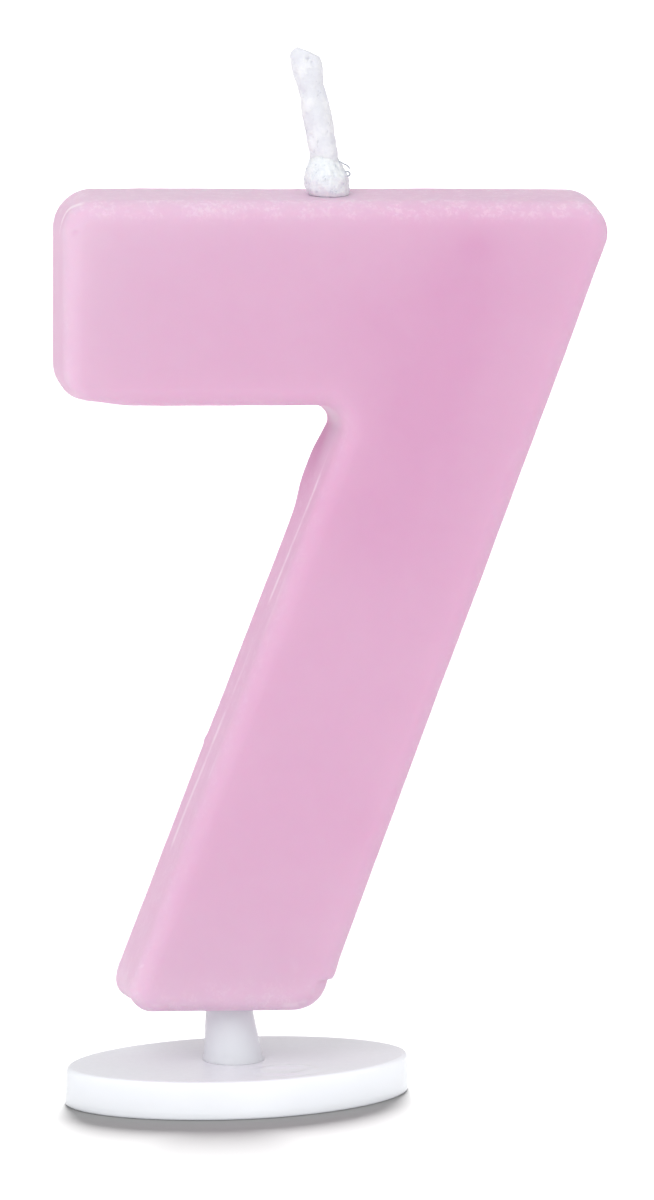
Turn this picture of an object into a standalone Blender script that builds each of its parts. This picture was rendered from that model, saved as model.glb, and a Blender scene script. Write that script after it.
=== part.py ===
"""Number birthday candle: a cast wax 7 with a waxed cotton wick, pulled onto the peg of a small
white plastic holder. The holder's stem plugs into an oval foot and turns in it.

Frame, in metres: the origin is on the foot's flat underside, on the stem's axis. +Z is up, X runs
along the width of the numeral, and the numeral's front faces -Y.
"""
import math

import bmesh
import bpy
from mathutils import Vector

MM = 0.001
GAP = 0.3 * MM                     # clearance between pieces that touch on the real candle

# Foot: an oval disc, cored out underneath, with a boss round the stem's bore
FOOT_HALF_LENGTH = 15.5 * MM
FOOT_HALF_DEPTH = 9.42 * MM
FOOT_FULLNESS = 1.88               # exponent of the oval: 2 is an ellipse, less is more pointed
FOOT_HEIGHT = 3.3 * MM
FOOT_DRAFT = 0.12 * MM             # the wall leans in by this much over its height
FOOT_RIM_RADIUS = 0.42 * MM
FOOT_RIM_STEPS = 4
FOOT_TURN = math.radians(13.0)     # how far the foot is turned under the numeral
FOOT_OFFSET = 0.3 * MM             # the oval's middle is this far to the right of the stem's bore
FOOT_SHELL = 1.4 * MM
FOOT_EDGE_BREAK = 0.15 * MM
CORE_DEPTH = 1.9 * MM
BOSS_RADIUS = 4.0 * MM
BORE_FLOOR = 1.1 * MM

# Stem: spigot in the foot, tapered stem in sight, peg inside the wax
SPIGOT_RADIUS = 1.6 * MM
STEM_ROOT_RADIUS = 2.6 * MM
STEM_TOP_RADIUS = 2.02 * MM
PEG_ROOT_RADIUS = 1.35 * MM
PEG_TIP_RADIUS = 1.0 * MM
PEG_LENGTH = 10.0 * MM
PEG_NOSE = 1.2 * MM                # height of the rounded end
PEG_NOSE_POINTS = ((0.75, 0.7), (0.3, 1.0))    # shares of the tip's radius and the nose's height

# Numeral: its front outline, which grows by the draft all round towards the back
WAX_BASE = 8.43 * MM               # height of the front outline's lowest line above the table
WAX_HEIGHT = 69.77 * MM
WAX_DEPTH = 10.0 * MM
WAX_DRAFT = 0.79 * MM              # from the front, the mould's bottom, to the back, its mouth
DRAFT_SLOPE = WAX_DRAFT / WAX_DEPTH
WAX_EDGE_RADIUS = 1.5 * MM         # round the front face
WAX_BACK_EDGE_RADIUS = 0.9 * MM
WAX_EDGE_SEGMENTS = 3
BAR_LEFT = -14.98 * MM
BAR_HEIGHT = 17.27 * MM
LEG_LEFT = -10.1 * MM              # sharp corner of the leg's foot, before rounding
LEG_WIDTH = 17.18 * MM             # level width of the leg at its foot
LEG_LEFT_SLOPE = 0.378             # how far each side of the leg leans to the right as it rises
LEG_RIGHT_SLOPE = 0.364
TOP_LEFT_RADIUS = 2.73 * MM
TOP_RIGHT_RADIUS = 2.7 * MM
BAR_END_RADIUS = 2.22 * MM
INNER_RADIUS = 1.97 * MM
LEG_FOOT_LEFT_RADIUS = 1.8 * MM
LEG_FOOT_RIGHT_RADIUS = 3.64 * MM

# Wick: leans out of the top of the bar, and follows the stroke down inside the wax
WICK_RADIUS = 1.2 * MM
WICK_X = 7.97 * MM
WICK_ABOVE = 12.5 * MM
WICK_LEAN = math.tan(math.radians(10.9))
WICK_END = 20.0 * MM               # height of its lower end above the numeral's underside
WICK_PULL = 22.0 * MM              # how strongly the buried stretch keeps its end directions
WICK_TIP_TAPER = 0.8               # share of the wick's radius left at its tip
WICK_SIDES = 12
WICK_FREE_STEPS = 6
WICK_STEPS = 24

# White wax collar round the wick's root
SEAL_RADIUS = 2.0 * MM
SEAL_TOP_RADIUS = 1.75 * MM
SEAL_HEIGHT = 2.8 * MM
SEAL_POINTS = ((0.92, 0.0), (1.0, 0.15), (1.0, 0.55), (0.95, 0.8))    # shares of radius and height

ROUND_STEPS = 48
ARC_STEP = math.radians(9.0)
ARC_LEAST_STEPS = 3
CREASE_ANGLE = math.radians(30.0)


def clear_scene():
    for item in list(bpy.data.objects):
        bpy.data.objects.remove(item, do_unlink=True)


def plain_material(name, colour, roughness):
    material = bpy.data.materials.new(name)
    material.use_nodes = True
    shader = material.node_tree.nodes["Principled BSDF"]
    shader.inputs["Base Color"].default_value = (*colour, 1.0)
    shader.inputs["Roughness"].default_value = roughness
    shader.inputs["Metallic"].default_value = 0.0
    return material


def pink_wax():
    return plain_material("pink_wax", (0.77, 0.45, 0.63), 0.42)


def waxed_cotton():
    return plain_material("waxed_cotton", (0.86, 0.86, 0.88), 0.75)


def white_wax():
    return plain_material("white_wax", (0.86, 0.86, 0.88), 0.5)


def white_plastic(name):
    return plain_material(name, (0.84, 0.84, 0.87), 0.25)


def add_object(name, mesh, material):
    item = bpy.data.objects.new(name, mesh)
    bpy.context.scene.collection.objects.link(item)
    if material:
        mesh.materials.append(material)
    return item


def mesh_of_rings(name, rings):
    """One closed body: rings of equally many points, bridged in turn, capped at both ends."""
    shape = bmesh.new()
    loops = [[shape.verts.new(point) for point in ring] for ring in rings]
    count = len(loops[0])
    for lower, upper in zip(loops, loops[1:]):
        for i in range(count):
            j = (i + 1) % count
            shape.faces.new((lower[i], lower[j], upper[j], upper[i]))
    shape.faces.new(list(reversed(loops[0])))
    shape.faces.new(loops[-1])
    bmesh.ops.recalc_face_normals(shape, faces=shape.faces)
    mesh = bpy.data.meshes.new(name)
    shape.to_mesh(mesh)
    shape.free()
    mesh.shade_smooth()
    mesh.set_sharp_from_angle(angle=CREASE_ANGLE)
    return mesh


def round_ring(radius, height):
    points = []
    for i in range(ROUND_STEPS):
        angle = math.tau * i / ROUND_STEPS
        points.append((radius * math.cos(angle), radius * math.sin(angle), height))
    return points


def foot_ring(inset, height):
    """The foot's oval, moved in by inset."""
    power = 2.0 / FOOT_FULLNESS
    points = []
    for x, y, z in round_ring(1.0, height):
        x = math.copysign(abs(x) ** power, x) * (FOOT_HALF_LENGTH - inset) + FOOT_OFFSET
        y = math.copysign(abs(y) ** power, y) * (FOOT_HALF_DEPTH - inset)
        points.append((x, y, z))
    return points


def turned_mesh(name, profile, lean=0.0):
    """A turned body from (radius, height) pairs. Lean slides each ring along +X as it rises."""
    rings = []
    for radius, height in profile:
        shift = lean * (height - profile[0][1])
        rings.append([(x + shift, y, z) for x, y, z in round_ring(radius, height)])
    return mesh_of_rings(name, rings)


def cut(target, cutter):
    cutter.hide_render = True
    cutter.display_type = "WIRE"
    boolean = target.modifiers.new(cutter.name, "BOOLEAN")
    boolean.operation = "DIFFERENCE"
    boolean.solver = "EXACT"
    boolean.object = cutter


def rounded_outline(corners, grow):
    """Closed outline from (x, z, radius) corners, each corner replaced by an arc.

    The whole outline is moved outwards by grow: it runs counter-clockwise, so that the arcs that
    turn left get wider and the others tighter.
    """
    points = []
    count = len(corners)
    for i, (x, z, radius) in enumerate(corners):
        corner = Vector((x, z))
        back = (Vector(corners[i - 1][:2]) - corner).normalized()
        ahead = (Vector(corners[(i + 1) % count][:2]) - corner).normalized()
        half_angle = back.angle(ahead) / 2.0
        centre = corner + (back + ahead).normalized() * (radius / math.sin(half_angle))
        start = corner + back * (radius / math.tan(half_angle)) - centre
        end = corner + ahead * (radius / math.tan(half_angle)) - centre
        sweep = start.angle_signed(end)
        reach = radius - math.copysign(grow, sweep)
        steps = max(ARC_LEAST_STEPS, math.ceil(abs(sweep) / ARC_STEP))
        first = math.atan2(start.y, start.x)
        for step in range(steps + 1):
            angle = first - sweep * step / steps
            points.append(centre + reach * Vector((math.cos(angle), math.sin(angle))))
    return points


def numeral_outline(grow):
    notch = WAX_HEIGHT - BAR_HEIGHT
    leg_right = LEG_LEFT + LEG_WIDTH
    return rounded_outline((
        (LEG_LEFT, 0.0, LEG_FOOT_LEFT_RADIUS),
        (leg_right, 0.0, LEG_FOOT_RIGHT_RADIUS),
        (leg_right + LEG_RIGHT_SLOPE * WAX_HEIGHT, WAX_HEIGHT, TOP_RIGHT_RADIUS),
        (BAR_LEFT, WAX_HEIGHT, TOP_LEFT_RADIUS),
        (BAR_LEFT, notch, BAR_END_RADIUS),
        (LEG_LEFT + LEG_LEFT_SLOPE * notch, notch, INNER_RADIUS),
    ), grow)


def slab_mesh(name, front_outline, back_outline, depth, back_weight):
    """A slab between two outlines of equally many points, centred on Y = 0.

    Its front edges carry a bevel weight of 1, its back edges the back weight.
    """
    shape = bmesh.new()
    weights = shape.edges.layers.float.new("bevel_weight_edge")
    front = [shape.verts.new((point.x, -depth / 2.0, point.y)) for point in front_outline]
    back = [shape.verts.new((point.x, depth / 2.0, point.y)) for point in back_outline]
    shape.faces.new(front)
    shape.faces.new(list(reversed(back)))
    for i in range(len(front)):
        j = (i + 1) % len(front)
        shape.faces.new((front[j], front[i], back[i], back[j]))
        shape.edges.get((front[i], front[j]))[weights] = 1.0
        shape.edges.get((back[i], back[j]))[weights] = back_weight
    bmesh.ops.recalc_face_normals(shape, faces=shape.faces)
    mesh = bpy.data.meshes.new(name)
    shape.to_mesh(mesh)
    shape.free()
    mesh.shade_smooth()
    return mesh


def bar_top():
    """Height of the bar's top halfway through the slab, in the numeral's frame."""
    return WAX_HEIGHT + WAX_DRAFT / 2.0


def stem_shoulder():
    """Height of the stem's shoulder above the table, clear of the wax's sloping underside."""
    return WAX_BASE - WAX_DRAFT / 2.0 - STEM_TOP_RADIUS * DRAFT_SLOPE - GAP


def stroke_middle(height):
    """The point halfway across the leg at a height above the numeral's underside."""
    slope = (LEG_LEFT_SLOPE + LEG_RIGHT_SLOPE) / 2.0
    return Vector((LEG_LEFT + LEG_WIDTH / 2.0 + slope * height, height))


def wick_path():
    """Centre line of the wick in the numeral's frame, from its tip down to its lower end."""
    tip = Vector((WICK_X - WICK_LEAN * WICK_ABOVE, bar_top() + WICK_ABOVE))
    root = Vector((WICK_X, bar_top()))
    end = stroke_middle(WICK_END)
    pull_in = (root - tip).normalized() * WICK_PULL
    pull_out = (stroke_middle(WAX_HEIGHT) - end).normalized() * WICK_PULL
    points = [tip.lerp(root, step / WICK_FREE_STEPS) for step in range(WICK_FREE_STEPS)]
    for step in range(WICK_STEPS + 1):
        t = step / WICK_STEPS
        points.append((1 - t) ** 3 * root + 3 * (1 - t) ** 2 * t * (root + pull_in)
                      + 3 * (1 - t) * t ** 2 * (end + pull_out) + t ** 3 * end)
    return points


def wick_mesh(name, extra_radius, extra_length):
    """A round tube along the wick's path. The extra sizes turn the wick into its channel."""
    path = wick_path()
    path[0] = path[0] + (path[0] - path[1]).normalized() * extra_length
    path[-1] = path[-1] + (path[-1] - path[-2]).normalized() * extra_length
    rings = []
    for i, point in enumerate(path):
        ahead = (path[min(i + 1, len(path) - 1)] - path[max(i - 1, 0)]).normalized()
        side = Vector((ahead.y, -ahead.x))
        radius = WICK_RADIUS * (WICK_TIP_TAPER if i == 0 else 1.0) + extra_radius
        ring = []
        for step in range(WICK_SIDES):
            angle = math.tau * step / WICK_SIDES
            flat = point + side * radius * math.cos(angle)
            ring.append((flat.x, radius * math.sin(angle), flat.y))
        rings.append(ring)
    return mesh_of_rings(name, rings)


def make_foot():
    bore = SPIGOT_RADIUS + GAP
    rings = [
        round_ring(BOSS_RADIUS, 0.0),
        round_ring(BOSS_RADIUS, CORE_DEPTH),
        foot_ring(FOOT_SHELL, CORE_DEPTH),
        foot_ring(FOOT_SHELL, 0.0),
        foot_ring(FOOT_EDGE_BREAK, 0.0),
        foot_ring(0.0, FOOT_EDGE_BREAK),
    ]
    for step in range(FOOT_RIM_STEPS + 1):
        angle = math.pi / 2.0 * step / FOOT_RIM_STEPS
        inset = FOOT_DRAFT + FOOT_RIM_RADIUS * (1.0 - math.cos(angle))
        rings.append(foot_ring(inset, FOOT_HEIGHT - FOOT_RIM_RADIUS * (1.0 - math.sin(angle))))
    rings.append(round_ring(bore, FOOT_HEIGHT))
    rings.append(round_ring(bore, BORE_FLOOR))
    foot = add_object("foot", mesh_of_rings("foot", rings), white_plastic("foot_plastic"))
    foot.rotation_euler.z = FOOT_TURN
    return foot


def peg_profile(extra):
    """(radius, height) of the peg above the stem's shoulder, grown by extra for its socket."""
    nose = PEG_LENGTH - PEG_NOSE
    profile = [(PEG_ROOT_RADIUS + extra, 0.0), (PEG_TIP_RADIUS + extra, nose)]
    for radius_share, height_share in PEG_NOSE_POINTS:
        profile.append((PEG_TIP_RADIUS * radius_share + extra, nose + PEG_NOSE * height_share + extra))
    return profile


def make_stem():
    shoulder = stem_shoulder()
    seat = FOOT_HEIGHT + GAP
    spigot_end = BORE_FLOOR + GAP
    profile = [
        (SPIGOT_RADIUS - FOOT_EDGE_BREAK, spigot_end),
        (SPIGOT_RADIUS, spigot_end + FOOT_EDGE_BREAK),
        (SPIGOT_RADIUS, seat),
        (STEM_ROOT_RADIUS, seat),
        (STEM_TOP_RADIUS, shoulder),
    ]
    profile += [(radius, shoulder + height) for radius, height in peg_profile(0.0)]
    return add_object("stem_peg", turned_mesh("stem_peg", profile), white_plastic("stem_plastic"))


def make_numeral():
    back_weight = WAX_BACK_EDGE_RADIUS / WAX_EDGE_RADIUS
    front = numeral_outline(0.0)
    back = numeral_outline(WAX_DRAFT)
    slab = slab_mesh("wax_numeral", front, back, WAX_DEPTH, back_weight)
    wax = add_object("wax_numeral", slab, pink_wax())
    wax.location.z = WAX_BASE
    edges = wax.modifiers.new("rounded_edges", "BEVEL")
    edges.width = WAX_EDGE_RADIUS
    edges.segments = WAX_EDGE_SEGMENTS
    edges.limit_method = "WEIGHT"

    channel = add_object("wick_channel", wick_mesh("wick_channel", GAP, GAP), None)
    channel.location.z = WAX_BASE
    cut(wax, channel)

    mouth = [(PEG_ROOT_RADIUS + GAP, -PEG_NOSE)]
    socket = add_object("peg_socket", turned_mesh("peg_socket", mouth + peg_profile(GAP)), None)
    socket.location.z = stem_shoulder() + GAP
    cut(wax, socket)
    return wax


def make_wick():
    wick = add_object("wick", wick_mesh("wick", 0.0, 0.0), waxed_cotton())
    wick.location.z = WAX_BASE
    return wick


def make_seal():
    """A collar of white wax that stands on the bar, with the wick leaning through it."""
    profile = [(SEAL_RADIUS * wide, SEAL_HEIGHT * high) for wide, high in SEAL_POINTS]
    profile.append((SEAL_TOP_RADIUS, SEAL_HEIGHT))
    seal = add_object("wick_seal", turned_mesh("wick_seal", profile, -WICK_LEAN), white_wax())
    seal.location = (WICK_X, 0.0, WAX_BASE + bar_top() + SEAL_RADIUS * DRAFT_SLOPE + GAP)
    hole = add_object("seal_hole", wick_mesh("seal_hole", GAP, GAP), None)
    hole.location.z = WAX_BASE
    cut(seal, hole)
    return seal


def hang_on_axis(name, height, pieces):
    """An empty on a joint's axis, with the pieces that move with it as its children."""
    axis = bpy.data.objects.new(name, None)
    axis.location.z = height
    bpy.context.scene.collection.objects.link(axis)
    for piece in pieces:
        piece.parent = axis
        piece.location.z -= height
    return axis


def main():
    clear_scene()
    make_foot()
    stem = make_stem()
    candle = hang_on_axis("lift_axis", WAX_BASE, [make_numeral(), make_wick(), make_seal()])
    for cutter in ("wick_channel", "peg_socket", "seal_hole"):
        guide = bpy.data.objects[cutter]
        guide.parent = candle
        guide.location.z -= WAX_BASE
    hang_on_axis("swivel_axis", FOOT_HEIGHT, [stem, candle])


main()
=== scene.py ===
"""Number birthday candle, finished look: a cast wax 7 with a waxed wick, on a white plastic holder.

Everything is in metres, in the row frame: origin under the stem, +Z up, the numeral's front at -Y.
"""
import math

import bmesh
import bpy
from mathutils import Matrix, Vector, geometry, kdtree, noise


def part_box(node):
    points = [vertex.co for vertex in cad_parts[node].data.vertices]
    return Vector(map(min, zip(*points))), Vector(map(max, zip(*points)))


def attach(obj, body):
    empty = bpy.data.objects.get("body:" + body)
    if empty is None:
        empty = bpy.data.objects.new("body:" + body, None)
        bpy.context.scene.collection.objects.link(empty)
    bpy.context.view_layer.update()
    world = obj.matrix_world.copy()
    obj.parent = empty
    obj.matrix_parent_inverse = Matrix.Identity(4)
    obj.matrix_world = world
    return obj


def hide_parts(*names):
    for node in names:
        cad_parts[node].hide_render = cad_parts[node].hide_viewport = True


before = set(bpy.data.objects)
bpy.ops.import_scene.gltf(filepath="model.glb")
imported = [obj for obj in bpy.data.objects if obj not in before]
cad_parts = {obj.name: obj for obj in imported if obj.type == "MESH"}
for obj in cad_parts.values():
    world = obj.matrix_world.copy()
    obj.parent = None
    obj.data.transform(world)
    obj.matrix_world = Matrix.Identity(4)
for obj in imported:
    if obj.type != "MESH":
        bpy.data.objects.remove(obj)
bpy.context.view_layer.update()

MM = 0.001

# Camera: in front of the candle, a little to its left and a little higher than the wick's tip
CAMERA_AT = Vector((-31.0, -444.0, 100.0)) * MM
CAMERA_TURN = math.radians(5.0)
CAMERA_PITCH = math.radians(7.21)
CAMERA_ROLL = 0.0058
CAMERA_LENS = 155.9
CAMERA_SENSOR = 36.0
CAMERA_CLIP = (0.01, 100.0)

# Lights: azimuth, elevation and spread in degrees, and strength. Azimuth 0 is in front of the candle
# and 90 is to its right.
KEY_LIGHT = (-26.0, 40.0, 35.0, 0.93)
FILL_LIGHT = (20.0, 8.0, 50.0, 0.06)
FOOT_FILL_LIGHT = (12.0, 4.0, 60.0, 1.05)
FLOOR_LIGHT = (174.0, 23.0, 34.0, 14.4)
WORLD_LIGHT = 0.76
BACKDROP_LIGHT = 1.0               # the world as the camera sees it
FLOOR_HALF_SIZE = 40.0
FLOOR_TONE = (0.42, 0.42, 0.42, 1.0)

# Numeral, as in the CAD model
WAX_LOW, WAX_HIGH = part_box("wax_numeral")
WAX_DEPTH = WAX_HIGH.y - WAX_LOW.y
WAX_DRAFT = 0.79 * MM
DRAFT_SLOPE = WAX_DRAFT / WAX_DEPTH
WAX_EDGE_RADIUS = 1.5 * MM
WAX_BACK_EDGE_RADIUS = 0.9 * MM
WAX_FLARE = WAX_DRAFT - WAX_BACK_EDGE_RADIUS * DRAFT_SLOPE    # from the front outline to the box
WAX_BASE = WAX_LOW.z + WAX_FLARE
WAX_HEIGHT = WAX_HIGH.z - WAX_LOW.z - 2.0 * WAX_FLARE
BAR_TOP = WAX_HEIGHT + WAX_DRAFT / 2.0    # the sloping top face, at the middle of the depth
BAR_LEFT = WAX_LOW.x + WAX_FLARE
BAR_HEIGHT = 17.27 * MM
BAR_UNDERSIDE = WAX_HEIGHT - BAR_HEIGHT
LEG_LEFT = -10.1 * MM
LEG_WIDTH = 17.18 * MM
LEG_RIGHT = LEG_LEFT + LEG_WIDTH
LEG_LEFT_SLOPE = 0.378
LEG_RIGHT_SLOPE = 0.364
TOP_LEFT_RADIUS = 2.73 * MM
TOP_RIGHT_RADIUS = 2.7 * MM
BAR_END_RADIUS = 2.22 * MM
INNER_RADIUS = 1.97 * MM
LEG_FOOT_LEFT_RADIUS = 1.8 * MM
LEG_FOOT_RIGHT_RADIUS = 3.64 * MM
ARC_STEPS = 24

# Mesh of the numeral: spacing round the outline and over the faces, and rows from front to back
OUTLINE_STEP = 0.26 * MM
FACE_STEP = 0.62 * MM
FACE_CLEARANCE = 0.6 * FACE_STEP
FACE_INSET = 1.64 * MM
INSET_STEPS = 2
EDGE_STEPS = 8
SIDE_STEPS = 22
BACK_EDGE_STEPS = 4
BACK_INSET_STEPS = 4

# Unevenness of the casting: (size, height) in mm and seed
WAX_LUMPS = (
    (11.0, 0.055, 1.0),
    (3.6, 0.030, 2.0),
    (1.1, 0.010, 3.0),
)
BACK_SINK = 0.22 * MM              # the back face sank by this much as it set
BACK_SINK_REACH = (2.0 * MM, 8.0 * MM)
UNDERSIDE_LIFT = 0.42 * MM         # the bar's underside curves up towards its free end
UNDERSIDE_REACH = 6.0 * MM
CHIP_TOP = 2.65 * MM               # the chip low in the leg's right side
CHIP_DEPTH = 0.34 * MM
CHIP_LIP = 0.09 * MM
MARK_REACH = 3.0                   # a casting mark is felt this many widths away

# Colour: a depth of 0 is the palest pink and 1 the deepest
WAX_TONES = (
    (0.0, (0.748, 0.528, 0.674)),
    (0.3, (0.722, 0.474, 0.634)),
    (0.6, (0.710, 0.430, 0.604)),
    (1.0, (0.682, 0.370, 0.562)),
)
# Pale tone for the frost, the painted highlights on the rounded edges and the white scratches
FROST_AND_HIGHLIGHT_TONE = (0.90, 0.76, 0.85, 1.0)
PLAIN_DEPTH = 0.61
JOIN_DEPTH = 0.06                  # added where bar and leg meet
LEG_DEPTH = 0.07
WALL_DEPTH = 0.34
BAR_END_DEPTH = 0.45

# Patches, each with its strength and width: the deepest colour down a line of the front, a deep one
# high on the leg's flank, painted shade under the bar, and a pale one on the flank of the inner
# corner, painted light against the shade there
HEART_TOP = Vector((18.5, 0.0, 66.2)) * MM
HEART_BOTTOM = Vector((12.5, 0.0, 43.2)) * MM
HEART = (0.28, 7.5 * MM)
WEDGE_SHADE_HEIGHTS = (43.6 * MM, 49.0 * MM)
WEDGE_SHADE = (0.70, 2.4 * MM)
CORNER_LIGHT_HEIGHT = 51.0 * MM
PAINTED_CORNER_LIGHT = (0.75, 4.0 * MM)

# How much paler the edges are, and how far in that reaches: painted light glowing through the thin wax at
# the edges
LEFT_GLOW = (0.50, 4.5 * MM)
TOP_GLOW = (0.42, 3.0 * MM)
BOTTOM_GLOW = (0.50, 4.5 * MM)
RIM_GLOW = (0.24, 1.3 * MM)

# Strength of the white frost
TOP_FROST = 1.2
BOTTOM_FROST = 0.8
RIM_FROST = 0.35
# On the leg's flank the frost is also painted light against the shade under the bar
FLANK_FROST_AND_LIGHT = 0.55
CORNER_FROST = (0.9, 4.5 * MM)

# Painted highlights along the rounded edges of the top left corner and of the leg's left edge, and white
# scratches low on the front: from (x, y, z) to (x, y, z), width and strength, in mm
HIGHLIGHTS_AND_SCRATCHES = (
    ((-15.25, -1.5, 67.0), (-15.1, -1.9, 67.9), 0.16, 0.6),
    ((-15.1, -1.9, 67.9), (-14.6, -1.6, 69.0), 0.34, 1.0),
    ((-14.6, -1.6, 69.0), (-13.6, -3.6, 69.5), 0.34, 1.0),
    ((8.6, -1.4, 50.2), (7.0, -1.5, 46.1), 0.24, 0.8),
    ((7.0, -1.5, 46.1), (4.6, -0.9, 39.9), 0.36, 0.8),
    ((4.6, -0.9, 39.9), (1.2, -0.2, 30.9), 0.36, 0.75),
    ((1.2, -0.2, 30.9), (-5.6, 1.2, 13.2), 0.40, 0.6),
    ((5.4, -3.4, 40.0), (-5.0, -3.4, 12.5), 0.45, 0.25),
    ((4.0, -4.6, 0.55), (5.0, -4.6, 0.62), 0.20, 0.9),
    ((5.0, -4.6, 0.75), (5.7, -4.6, 1.0), 0.18, 0.9),
    ((-7.4, -4.6, 0.7), (-6.9, -4.6, 0.6), 0.16, 0.8),
    ((-4.6, -4.6, 0.6), (-3.9, -4.6, 0.55), 0.14, 0.7),
    ((4.4, -5.0, 4.2), (4.8, -5.0, 4.0), 0.12, 0.6),
    ((-8.6, -4.2, 4.0), (-8.3, -4.3, 4.0), 0.14, 0.7),
)
LONG_HIGHLIGHT = 3.0 * MM             # longer ones are broken up and wavy
HIGHLIGHT_WAVES = ((4.5, 0.55, 12.0),)
HIGHLIGHT_GAPS = (4.0 * MM, 13.0)

# Darker blotches in the deep part of the front: x, z, width in mm, and strength
BLOTCHES = (
    (20.1, 66.2, 1.6, 0.20),
    (19.3, 61.6, 2.6, 0.14),
    (18.2, 56.4, 2.2, 0.10),
    (15.7, 52.5, 2.6, 0.12),
    (10.1, 59.8, 2.4, 0.08),
)

# Wick: the CAD model's route, begun a little higher because the tip is cut off at a slant
WICK_RADIUS = 1.2 * MM
WICK_X = 7.97 * MM
WICK_ABOVE = 12.7 * MM
WICK_END = 20.0 * MM
WICK_PULL = 22.0 * MM
WICK_GAP = 0.2 * MM
WICK_LEAN = math.tan(math.radians(10.9))
WICK_FREE_STEPS = 130
WICK_BURIED_STEPS = 70
WICK_SIDES = 96
CHANNEL_SIDES = 24

# Bends of the free wick: height above the bar, width and shift to the right, in mm
WICK_BENDS = (
    (5.2, 1.6, 0.10),
    (9.4, 1.0, -0.06),
)

# Surface of the wick: plies, swellings and necks (distance from the tip, width, height, in mm), and
# lumps (size, height in mm and seed)
WICK_PLIES = 3
WICK_PITCH = 9.0 * MM
PLY_RIDGE = 0.11 * MM
WICK_SWELLINGS = (
    (1.8, 1.5, 0.10),
    (3.9, 0.9, -0.07),
    (6.6, 1.6, 0.04),
)
WICK_LUMPS = (
    (1.8, 0.10, 5.0),
    (0.65, 0.055, 6.0),
    (0.25, 0.028, 7.0),
)

# Pits and one lump in the front of the wick: sideways, height above the bar, width and rise, in mm
WICK_MARKS = (
    (0.15, 11.6, 0.17, -0.30),
    (0.45, 11.3, 0.14, -0.25),
    (-0.95, 8.6, 0.50, -0.16),
    (-0.9, 9.6, 0.35, 0.10),
    (1.0, 9.9, 0.30, -0.10),
)
TIP_DOME = 0.75 * MM
TIP_SLOPE = 0.48
TIP_CRUSH = 0.85                   # share of what stands over the slanted cut that is pressed down

# Collar of wax round the wick's root, with the same kind of lumps
COLLAR_RADIUS = 1.9 * MM
COLLAR_HEIGHT = 3.3 * MM
COLLAR_SHIFT = -0.20 * MM
COLLAR_ROWS = 70
COLLAR_SIDES = 110
COLLAR_LUMPS = (
    (1.1, 0.14, 8.0),
    (0.42, 0.09, 9.0),
    (0.17, 0.05, 10.0),
)

# Stray fibres: points in mm from the wick's root
HOOK_POINTS = ((0.35, -0.6, 2.95), (0.75, -0.75, 2.85), (1.05, -0.8, 2.65), (1.40, -0.8, 2.50),
               (1.55, -0.8, 2.25))
LOOP_POINTS = ((1.20, -0.5, 2.00), (1.45, -0.6, 2.02), (1.60, -0.65, 1.83), (1.50, -0.65, 1.62),
               (1.20, -0.5, 1.55))

# Holder: the CAD model's sizes, with finer edges
FOOT_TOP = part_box("foot")[1].z
FOOT_HALF_LENGTH = 15.5 * MM
FOOT_HALF_DEPTH = 9.42 * MM
FOOT_FULLNESS = 1.88               # exponent of the oval: 2 is an ellipse, less is more pointed
FOOT_TURN = math.radians(13.0)
FOOT_DRAFT = 0.12 * MM
FOOT_RIM_RADIUS = 0.42 * MM
FOOT_BASE_RADIUS = 0.25 * MM
FOOT_EDGE_BREAK = 0.1 * MM
FOOT_OFFSET = 0.3 * MM
FOOT_SHELL = 1.4 * MM
FOOT_SIDES = 192
CORE_DEPTH = 1.9 * MM
BOSS_RADIUS = 4.0 * MM
BORE_RADIUS = 1.8 * MM
BORE_FLOOR = 1.1 * MM
STEM_LOW, STEM_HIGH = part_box("stem_peg")
STEM_ROOT_RADIUS = 2.6 * MM
STEM_TOP_RADIUS = 2.02 * MM
STEM_CHAMFER = 0.15 * MM
STEM_FILLET = 0.10 * MM
STEM_SHIFT = -0.12 * MM            # the stem's foot stands this far to the left of the spigot
STEM_LEAN = -0.42 * MM             # and its top leans this much further
STEM_SIDES = 96
SPIGOT_RADIUS = 1.6 * MM
PEG_ROOT_RADIUS = 1.35 * MM
PEG_TIP_RADIUS = 1.0 * MM
SOCKET_GAP = 0.2 * MM
SOCKET_SIDES = 48
SEAT_GAP = 0.01 * MM
HAIR = 0.005 * MM                  # height of a step in a turned profile that is as good as flat
CREASE_ANGLE = math.radians(50.0)

# The sink mark in the top of the foot: middle and half widths, and its waves (where, width, height)
SINK_MIDDLE = Vector((2.9 * MM, -5.6 * MM))
SINK_HALF_WIDTHS = (2.0 * MM, 1.5 * MM)
SINK_WAVES = (
    (0.0, 0.65, -0.10 * MM),
    (1.05, 0.28, 0.07 * MM),
    (1.6, 0.25, -0.03 * MM),
)


# ---------------------------------------------------------------- helpers

def place(name, shape, material=None, body=None):
    """A new object with its material and the body it rides on."""
    piece = bpy.data.objects.new(name, shape)
    bpy.context.scene.collection.objects.link(piece)
    if material:
        shape.materials.append(material)
    if body:
        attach(piece, body)
    return piece


def finished_mesh(name, shape):
    """The bmesh as a smooth-shaded mesh, with its faces turned outward."""
    bmesh.ops.recalc_face_normals(shape, faces=shape.faces)
    mesh = bpy.data.meshes.new(name)
    shape.to_mesh(mesh)
    shape.free()
    mesh.shade_smooth()
    return mesh


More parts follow.
